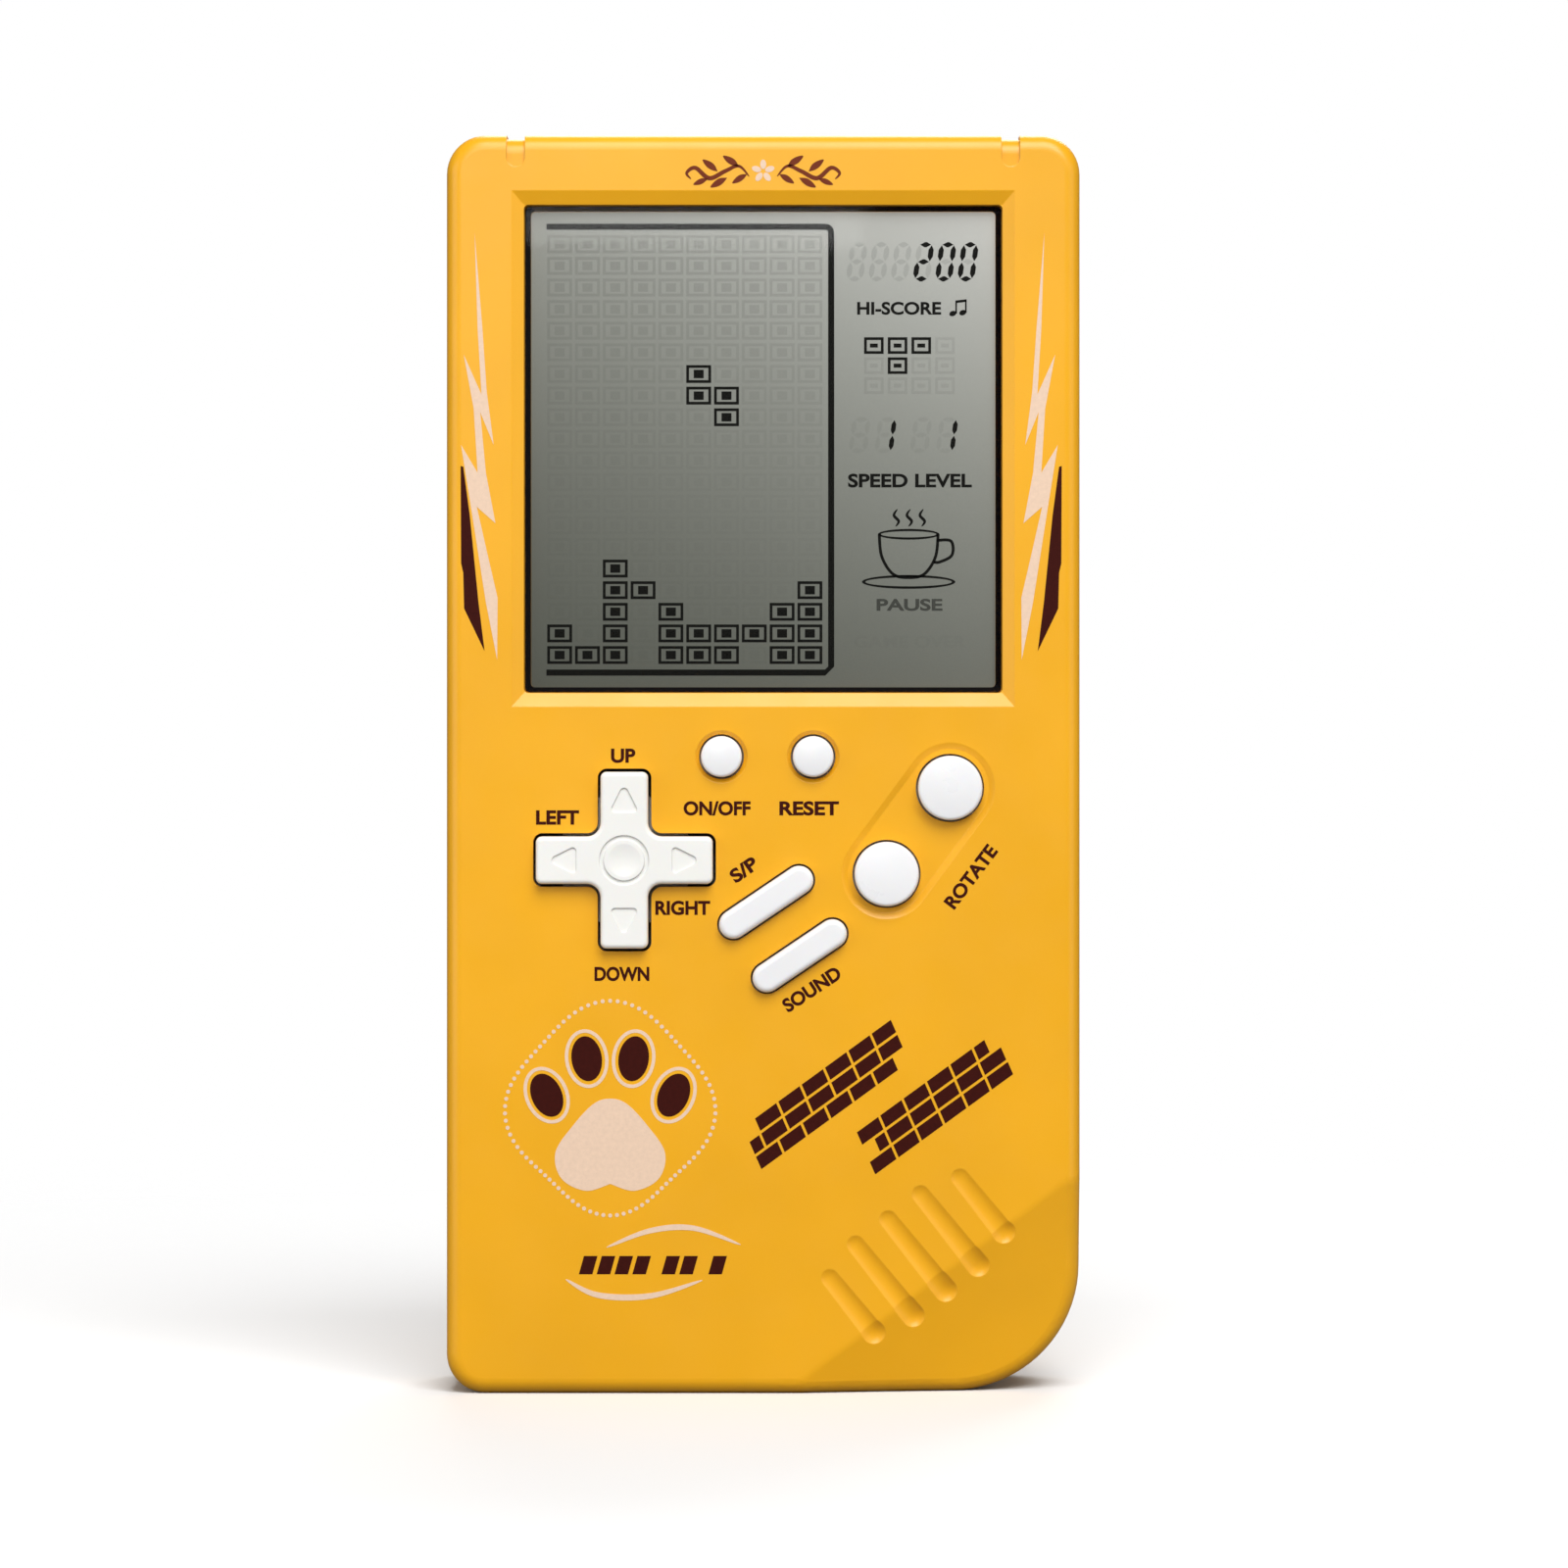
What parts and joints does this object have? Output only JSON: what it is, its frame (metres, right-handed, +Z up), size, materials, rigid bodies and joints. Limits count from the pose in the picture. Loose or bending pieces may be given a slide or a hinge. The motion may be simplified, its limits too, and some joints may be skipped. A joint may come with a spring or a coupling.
{
  "type": "handheld lcd game",
  "caption": "Hand-sized electronic toy with a large segment display, a direction pad, push buttons and a battery door.",
  "frame": {"origin": "middle of the flat bottom edge, halfway through the case's thickness", "axes": "+Z up the case towards the display's top edge, +X to the player's right, +Y from the face to the back"},
  "size_m": [0.073, 0.0237, 0.145],
  "materials": {
    "casing": "satin",
    "lens": "gloss",
    "black_tape": "matte",
    "lcd_film": "gloss",
    "lcd_glass": "gloss",
    "lcd_reflector": "satin",
    "foam": "matte",
    "board": "satin",
    "carbon": "matte",
    "epoxy": "satin",
    "components": "satin",
    "keypad_rubber": "matte",
    "dpad_white": "satin",
    "button_white": "satin",
    "pivot": "satin",
    "cell": "gloss",
    "contact": "gloss",
    "wire_red": "satin",
    "wire_black": "satin",
    "brass": "satin",
    "ceramic": "satin",
    "screw": "satin"
  },
  "bodies": {
    "casing": {"front_shell": "casing", "rear_shell": "casing", "window_lens": "lens", "lens_tape": "black_tape", "lcd_front_polariser": "lcd_film", "lcd_front_glass": "lcd_glass", "lcd_rear_glass": "lcd_glass", "lcd_reflector": "lcd_reflector", "lcd_foam_pad": "foam", "zebra_strip": "keypad_rubber", "main_board": "board", "board_pads": "carbon", "chip_blob": "epoxy", "board_components": "components", "keypad_mat": "keypad_rubber", "carbon_pills": "carbon", "dpad_pivot_post": "pivot", "battery_upper": "cell", "battery_lower": "cell", "contact_link": "contact", "contact_negative": "contact", "contact_positive": "contact", "wire_red": "wire_red", "wire_black": "wire_black", "buzzer_disc": "brass", "buzzer_ceramic": "ceramic", "buzzer_wires": "wire_black", "case_screws": "screw", "board_screws": "screw"},
    "battery_door": {"battery_door": "casing"},
    "dpad_pivot": {"dpad_pivot_ball": "pivot"},
    "dpad": {"dpad": "dpad_white"},
    "on_off_button": {"on_off_button": "button_white"},
    "reset_button": {"reset_button": "button_white"},
    "rotate_button_upper": {"rotate_button_upper": "button_white"},
    "rotate_button_lower": {"rotate_button_lower": "button_white"},
    "start_button": {"start_button": "button_white"},
    "sound_button": {"sound_button": "button_white"}
  },
  "joints": [
    {"name": "on_off_press", "type": "slide", "parent": "casing", "child": "on_off_button", "axis": [0, 1, 0], "range_m": [0, 0.0008], "stiffness_N_per_m": 40, "springref_m": -0.0002, "deforming": ["keypad_mat"]},
    {"name": "reset_press", "type": "slide", "parent": "casing", "child": "reset_button", "axis": [0, 1, 0], "range_m": [0, 0.0008], "stiffness_N_per_m": 40, "springref_m": -0.0002, "deforming": ["keypad_mat"]},
    {"name": "rotate_upper_press", "type": "slide", "parent": "casing", "child": "rotate_button_upper", "axis": [0, 1, 0], "range_m": [0, 0.0008], "stiffness_N_per_m": 40, "springref_m": -0.0002, "deforming": ["keypad_mat"]},
    {"name": "rotate_lower_press", "type": "slide", "parent": "casing", "child": "rotate_button_lower", "axis": [0, 1, 0], "range_m": [0, 0.0008], "stiffness_N_per_m": 40, "springref_m": -0.0002, "deforming": ["keypad_mat"]},
    {"name": "start_press", "type": "slide", "parent": "casing", "child": "start_button", "axis": [0, 1, 0], "range_m": [0, 0.0008], "stiffness_N_per_m": 40, "springref_m": -0.0002, "deforming": ["keypad_mat"]},
    {"name": "sound_press", "type": "slide", "parent": "casing", "child": "sound_button", "axis": [0, 1, 0], "range_m": [0, 0.0008], "stiffness_N_per_m": 40, "springref_m": -0.0002, "deforming": ["keypad_mat"]},
    {"name": "dpad_tilt_left_right", "type": "hinge", "parent": "casing", "child": "dpad_pivot", "pos_m": [-0.01595, -0.0081, 0.06145], "axis": [0, 0, 1], "range_deg": [-4, 4], "stiffness_Nm_per_rad": 0.002, "deforming": ["keypad_mat"]},
    {"name": "dpad_tilt_up_down", "type": "hinge", "parent": "dpad_pivot", "child": "dpad", "pos_m": [-0.01595, -0.0081, 0.06145], "axis": [1, 0, 0], "range_deg": [-4, 4], "stiffness_Nm_per_rad": 0.002, "deforming": ["keypad_mat"]},
    {"name": "battery_door_hinge", "type": "hinge", "parent": "casing", "child": "battery_door", "pos_m": [0, 0.0101, 0.0052], "axis": [-1, 0, 0], "range_deg": [0, 90]}
  ]
}
